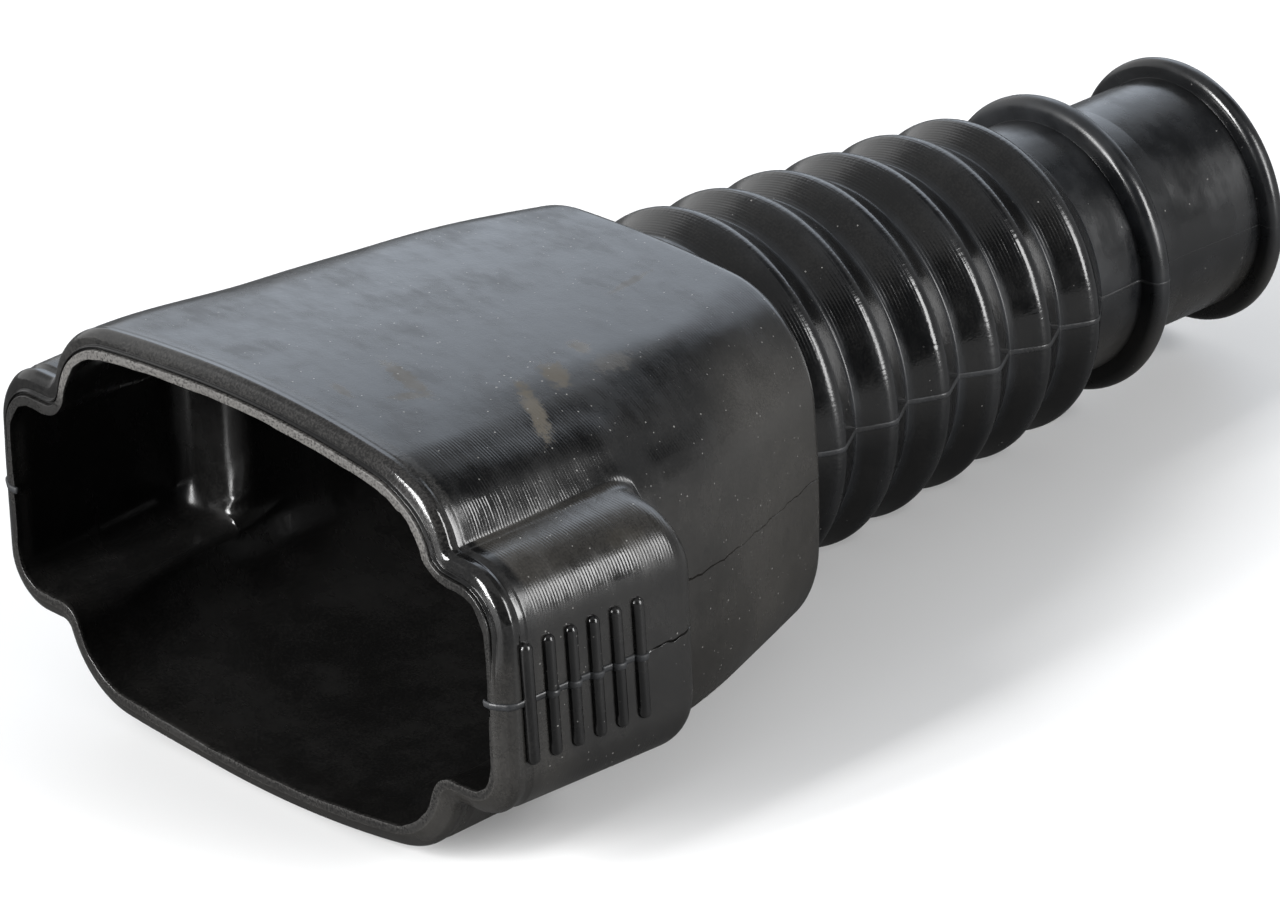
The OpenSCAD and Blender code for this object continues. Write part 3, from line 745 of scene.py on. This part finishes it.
outerPath = roundedPath(
    np.concatenate([[(t["start"], tipR[0])], outerTips, tailCorners, [(neckX, t["boreR"])]]),
    np.concatenate([[0], np.tile([t["rootR"], t["crestR"]], t["folds"]), t["tailRadii"], [0]]), *t["outerSteps"])
innerPath = roundedPath(
    np.concatenate([[(joinX, t["boreR"]), (neckX, t["boreR"])], innerTips[::-1], [(t["start"], innerTips[0][1])]]),
    np.concatenate([
        [0, t["innerCrestR"]], np.tile([t["innerCrestR"], t["rootR"] + t["wall"]], t["folds"]), [0]]),
    *t["innerSteps"])

# the outer path goes round the bead into the bore, where the inner path takes over
offBore = t["boreWeight"] * np.abs(outerPath[:, 1] - t["boreR"])
outerEnd = np.argmin(np.abs(outerPath[:, 0] - joinX) + offBore)
tubePath = np.concatenate([outerPath[:outerEnd], innerPath])
pathX, pathR = tubePath[:, :1], tubePath[:, 1:]
angle = np.arange(t["around"]) * 2 * math.pi / t["around"]
tubeRings = np.stack(np.broadcast_arrays(pathX, pathR * np.sin(angle), pathR * np.cos(angle)), -1)

# marks: run along the outline, cutter lines on the front flanks near the top, nicks on the crests, dust outside,
# dullness on neck, sleeve, roots and crests, and painted light on the low side of neck and sleeve
pathRun = np.concatenate([[0], np.cumsum(np.linalg.norm(np.diff(tubePath, axis=0), axis=1))])[:, None]
onOuter = np.arange(len(tubePath))[:, None] < outerEnd
onFolds = onOuter * (pathX < neckX)
climb = np.gradient(pathR[:, 0], pathRun[:, 0] + np.arange(len(pathRun)) * t["nudge"])[:, None]
towardsTop = rise(np.cos(angle + t["topTurn"]), *t["topAt"])
crestGap = np.abs(pathX - tipX[None, 1::2]).min(1, keepdims=True)
rootGap = np.abs(pathX - tipX[None, 0::2]).min(1, keepdims=True)
onCrest = onFolds * fall(crestGap, *t["crestAt"])
neckFrom, neckReach = t["neckAt"]
dullPath = np.where(pathX > ringX1, t["sleeveDull"], t["neckDull"] * rise(pathX, neckX + neckFrom, neckReach))
dullPath = dullPath + t["rootDull"] * onFolds * fall(rootGap, *t["rootAt"]) + t["crestDull"] * onCrest
tubeMarks = {
    "run": np.repeat(pathRun, t["around"], 1),
    "cut": onFolds * smooth(climb / t["flank"]) * towardsTop,
    "nick": np.repeat(onCrest, t["around"], 1),
    "dusty": np.repeat(onOuter, t["around"], 1),
    "dull": np.repeat(dullPath, t["around"], 1),
    # painted light: the low side of neck and sleeve is lighter, as if lit from the floor
    "hazeAndPaintedLight": t["paintedLowLight"] * (pathX > neckX) * fall(tubeRings[..., 2], *t["lowAt"]),
}
tubePoints = tubeRings.reshape(-1, 3)
tubeQuads = outwards(tubePoints, gridQuads(len(tubePath), t["around"]))
rubberPiece("bellows_and_sleeve", tubePoints, [tubeQuads], tubeMarks, tubeRubber)


# Grip ribs: capsules half sunk in the ears

ribs = {
    "count": 6, "pitch": 2.03, "first": 2.25, "length": 9.6, "lean": 0.03, "radius": 0.5, "proud": 0.02,
    "around": 20, "along": 7, "tip": 0.2,
}


def capsules(centres):
    # a circle carried up a straight line, shrinking over each round end as a sphere does
    lift = np.linspace(ribs["tip"], math.pi / 2, ribs["along"])
    r = np.concatenate([np.sin(lift), np.sin(lift[::-1])]) * ribs["radius"]
    z = np.concatenate([-np.cos(lift), np.cos(lift[::-1])]) * ribs["radius"]
    z = z + np.repeat([-1, 1], ribs["along"]) * (ribs["length"] / 2 - ribs["radius"])
    a = np.arange(ribs["around"]) * 2 * math.pi / ribs["around"]
    one = np.stack(np.broadcast_arrays(r[:, None] * np.cos(a), r[:, None] * np.sin(a), z[:, None]), -1)
    return centres[:, None, None] + one[None]


ribX = ribs["first"] + np.arange(ribs["count"]) * ribs["pitch"]
ribY = h["earY"] + ribs["proud"]
ribCentres = np.stack(np.broadcast_arrays(ribX[None], np.array([[-ribY], [ribY]]), 0.0), -1).reshape(-1, 3)
ribRings = capsules(ribCentres)
ribRings[..., 0] -= ribs["lean"] * ribRings[..., 2]
ribPoints, ribFaces = closedRuns(slack(ribRings))
rubberPiece("grip_ribs", ribPoints, ribFaces, {"dusty": np.ones(len(ribPoints))}, housingRubber)


# Parting flash: a thin ridge along both sides, where the mould's halves met

flash = {
    "earWidth": 0.58, "earHeight": 0.17, "foldWidth": 0.46, "foldHeight": 0.07, "sunk": 0.1, "around": 10,
    "lip": [(0.5, -2.06), (-0.02, -2.06), (-0.02, -1.4), (0.15, -0.95), (0.6, -0.25), (1.15, 0.0), (3.0, 0.0)],
    "lipRadii": [0, 0.1, 0.2, 0.3, 0.5, 0.5, 0], "lipSteps": (5, 0.1), "earRun": (3.05, 13.3, 0.05),
    "taper": 6, "taperStart": 0.5, "full": 0.75, "lopsided": 0.25, "lift": 0.15, "wave": 0.12, "waveLength": 4.1,
    "foldStart": 0.8, "sleeveRoom": 0.1, "closest": 0.01, "neckShare": 0.5, "sleeveShare": 0.15, "shareReach": 0.5,
    "rootShare": 0.2, "rootAt": (2.1, 0.5), "earRaw": 0.08, "foldRaw": 0.12, "dull": 0.8,
}


def ridge(path, width, height):
    # at each point of the path a loop: a lopsided half ellipse stands off the skin, and another half sinks in it; the
    # ends taper; then mirrored
    way = np.gradient(path, axis=0)
    off = np.stack([-way[:, 1], way[:, 0]], -1) / np.linalg.norm(way, axis=1, keepdims=True)
    a = np.arange(flash["around"]) * 2 * math.pi / flash["around"]
    number = np.arange(len(path))
    ends = smooth((np.minimum(number, number[::-1]) + flash["taperStart"]) / flash["taper"])[:, None]
    up = np.sqrt(np.clip(np.sin(a), 0, None)) * (flash["full"] + flash["lopsided"] * np.cos(a))
    out = ends * np.where(np.sin(a) > 0, height[:, None] * up, flash["sunk"] * np.sin(a))
    wander = (flash["lift"] + flash["wave"] * np.sin(path[:, 0] / flash["waveLength"]))[:, None]
    aside = wander + ends * width[:, None] / 2 * np.cos(a)
    points = np.stack([path[:, :1] + off[:, :1] * out, path[:, 1:] + off[:, 1:] * out, aside], -1)
    return np.stack([points, points * (1, -1, 1)])


lipRidge = roundedPath(flash["lip"], flash["lipRadii"], *flash["lipSteps"]) + (0, h["earY"])
earX = np.arange(*flash["earRun"])
overRibs = np.sqrt(np.clip(ribs["radius"] ** 2 - (earX[:, None] - ribX[None]) ** 2, 0, None)).max(1)
earRidge = np.concatenate([lipRidge, np.stack([earX, h["earY"] + overRibs], -1)])
pastStart = outerPath[:, 0] > t["firstRoot"] - flash["foldStart"]
tubeRidge = outerPath[pastStart & (outerPath[:, 1] > t["sleeveR"] - flash["sleeveRoom"])]
keep = np.concatenate([[True], np.linalg.norm(np.diff(tubeRidge, axis=0), axis=1) > flash["closest"]])
tubeRidge = tubeRidge[keep]
ridgeX = tubeRidge[:, 0]
foldShare = lerp(1.0, flash["neckShare"], rise(ridgeX, neckX, flash["shareReach"]))
foldShare = foldShare * lerp(1.0, flash["sleeveShare"], rise(ridgeX, ringX1, flash["shareReach"]))
fromCrest = np.abs(ridgeX[:, None] - tipX[None, 1::2]).min(1)
foldRise = foldShare * lerp(1, flash["rootShare"], rise(fromCrest, *flash["rootAt"]) * (ridgeX < neckX))
one = np.ones(len(earRidge))
flashRuns = [
    ("ear_flash", earRidge, flash["earWidth"] * one, flash["earHeight"] * one, flash["earRaw"], housingRubber),
    ("bellows_flash", tubeRidge, flash["foldWidth"] * foldShare, flash["foldHeight"] * foldRise, flash["foldRaw"],
     tubeRubber),
]
for name, path, width, height, raw, material in flashRuns:
    flashPoints, flashFaces = closedRuns(slack(ridge(path, width, height)))
    flashMarks = {"raw": np.full(len(flashPoints), raw), "dull": np.full(len(flashPoints), flash["dull"])}
    rubberPiece(name, flashPoints, flashFaces, flashMarks, material)


# Floor under the lip and the first crest, studio light and camera

floor = {
    "half": 2000.0, "lipX": 1.2, "lipZ": -16.55, "crestX": 45.5, "crestZ": -14.62, "seen": (0.8, 0.8, 0.8, 1),
    "shadeSide": (0.06, 0.06, 0.06, 1), "lightSide": (0.28, 0.28, 0.28, 1), "towardsLight": (0.35, -0.94, 0.0),
    "lightFrom": (0.0, 0.08), "rough": 0.6,
}
slope = (floor["crestZ"] - floor["lipZ"]) / (floor["crestX"] - floor["lipX"])
cornersX, cornersY = np.array([-1, 1, 1, -1]) * floor["half"], np.array([-1, -1, 1, 1]) * floor["half"]
floorPoints = np.stack([cornersX, cornersY, floor["lipZ"] + slope * (cornersX - floor["lipX"])], -1)
floorMesh = bpy.data.meshes.new("studio_floor")
floorMesh.from_pydata((floorPoints * mm).tolist(), [], [(0, 1, 2, 3)])
paleFloor = bpy.data.materials.new("pale_floor")
paleFloor.use_nodes = True
tree = paleFloor.node_tree
shader = tree.nodes["Principled BSDF"]
shader.inputs["Roughness"].default_value = floor["rough"]

# the floor is pale to the camera, and darker in the rubber's gloss, most of all on the shaded side
isSeen = put(tree, "ShaderNodeLightPath").outputs["Is Camera Ray"]
place = put(tree, "ShaderNodeTexCoord").outputs["Object"]
towardsLight = vector(tree, "DOT_PRODUCT", place, floor["towardsLight"], "Value")
mirrored = tint(tree, ramp(tree, towardsLight, *floor["lightFrom"]), floor["shadeSide"], floor["lightSide"])
feed(tree, shader.inputs["Base Color"], tint(tree, isSeen, mirrored, floor["seen"]))
floorMesh.materials.append(paleFloor)
floorObject = inScene("studio_floor", floorMesh)


def facing(back, roll=0.0):
    # axes of something that looks against back, turned about its own view by roll
    back = np.asarray(back, float) / np.linalg.norm(back)
    right = np.cross((0, 0, 1), back)
    right /= np.linalg.norm(right)
    up = np.cross(back, right)
    right, up = math.cos(roll) * right + math.sin(roll) * up, math.cos(roll) * up - math.sin(roll) * right
    return np.stack([right, up, back], 1)


def placed(axes, place):
    matrix = Matrix(axes.tolist()).to_4x4()
    matrix.translation = place
    return matrix


# the key and two strips for the streaks inside the mouth: azimuth and elevation, half width and height, and roll, in
# degrees, and brightness; all stand equally far away, in m
softBoxes = {
    "key": ((-69, 22), (10, 20), -24, 15.5),
    "left": ((166, 20), (3.5, 20), 0, 42.0),
    "right": ((177, 20), (3.5, 20), 0, 42.0),
}
boxFar = 1.2
for name, (at, half, roll, bright) in softBoxes.items():
    azimuth, elevation = np.radians(at)
    level = math.cos(elevation)
    back = np.array([math.cos(azimuth) * level, math.sin(azimuth) * level, math.sin(elevation)])
    light = bpy.data.lights.new(name, "AREA")
    light.shape = "RECTANGLE"
    light.size, light.size_y = 2 * boxFar * np.tan(np.radians(half))
    light.energy = bright * math.pi * light.size * light.size_y
    inScene(name, light).matrix_world = placed(facing(back, math.radians(roll)), back * boxFar)

# white walls, with brighter and darker panels: azimuth and elevation of the middle, half the size and the width of the
# soft edge, in degrees, and the light added
studio = {"wall": (0.42, 0.425, 0.43), "seen": (0.9, 0.9, 0.9, 1), "least": (0.03, 0.03, 0.03)}
panels = [
    ((32, 22), (16, 10), 14, (1.24, 1.39, 1.6)),
    ((95, 10), (30, 24), 14, (0.7, 0.7, 0.7)),
    ((-18, 51), (32, 8), 8, (-0.35, -0.35, -0.35)),
    ((-130, 0), (36, 46), 8, (-0.38, -0.38, -0.38)),
]
world = bpy.data.worlds.new("studio")
world.use_nodes = True
tree = world.node_tree
sky = tree.nodes["Background"]
towards = put(tree, "ShaderNodeSeparateXYZ", {"Vector": put(tree, "ShaderNodeTexCoord").outputs["Generated"]})
around = calc(tree, "DEGREES", calc(tree, "ARCTAN2", towards.outputs["Y"], towards.outputs["X"]))
above = calc(tree, "DEGREES", calc(tree, "ARCSINE", towards.outputs["Z"]))
light = studio["wall"]
for at, halves, soft, added in panels:
    offsets = [calc(tree, "ABSOLUTE", calc(tree, "SUBTRACT", *pair)) for pair in zip((around, above), at)]
    masks = [ramp(tree, offset, half + soft, half) for offset, half in zip(offsets, halves)]
    light = vector(tree, "ADD", vector(tree, "SCALE", added, calc(tree, "MULTIPLY", *masks)), light)
light = vector(tree, "MAXIMUM", light, studio["least"])
isSeen = put(tree, "ShaderNodeLightPath").outputs["Is Camera Ray"]
feed(tree, sky.inputs["Color"], tint(tree, isSeen, light, studio["seen"]))
bpy.context.scene.world = world

view = {
    "azimuth": -41.8445, "elevation": 25.6732, "roll": -2.2726, "place": (-0.363914, -0.449363, 0.287661),
    "lens": 253.125, "sensor": 36.0, "clip": (0.01, 50.0),
}
azimuth, elevation = math.radians(view["azimuth"]), math.radians(view["elevation"])
level = math.cos(elevation)
backwards = (math.sin(azimuth) * level, -math.cos(azimuth) * level, math.sin(elevation))
camera = bpy.data.cameras.new("photo_view")
camera.lens, camera.sensor_width, camera.sensor_fit = view["lens"], view["sensor"], "HORIZONTAL"
camera.clip_start, camera.clip_end = view["clip"]
cameraObject = inScene("photo_view", camera)
cameraObject.matrix_world = placed(facing(backwards, math.radians(view["roll"])), view["place"])
bpy.context.scene.camera = cameraObject
bpy.context.scene.view_settings.view_transform = "Standard"
print("boot: floor, light and camera set")
